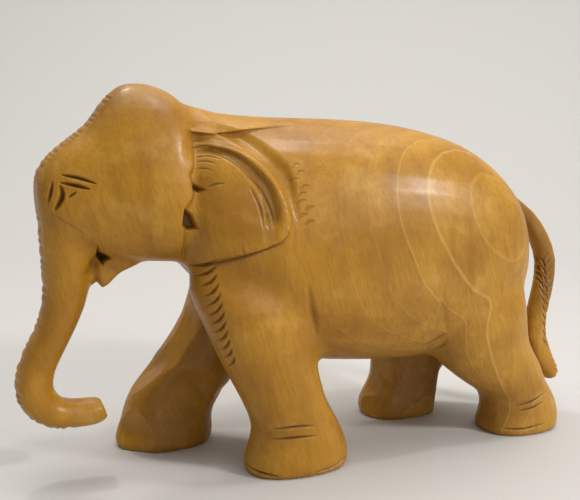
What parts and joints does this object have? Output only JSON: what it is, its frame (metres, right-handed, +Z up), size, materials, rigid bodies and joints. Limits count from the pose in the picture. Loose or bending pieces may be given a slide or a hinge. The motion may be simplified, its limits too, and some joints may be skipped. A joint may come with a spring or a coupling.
{
  "type": "carved wooden elephant figurine",
  "caption": "Carved wooden elephant figurine in a walking pose, with relief ears, a hanging trunk curled at the tip and a tail that hangs to one hind leg, standing on flat feet.",
  "frame": {"origin": "on the table, under the middle of the figure's length and width", "axes": "+X towards the tail (the head faces -X), +Y towards the figure's right side, +Z up"},
  "size_m": [0.1606, 0.0504, 0.1],
  "materials": {
    "carved_wood": "satin lacquer"
  },
  "bodies": {
    "root": {"torso": "carved_wood", "head": "carved_wood", "lower_lip": "carved_wood", "trunk": "carved_wood", "left_ear": "carved_wood", "right_ear": "carved_wood", "left_foreleg": "carved_wood", "right_foreleg": "carved_wood", "left_hind_leg": "carved_wood", "right_hind_leg": "carved_wood", "tail": "carved_wood"}
  },
  "joints": []
}
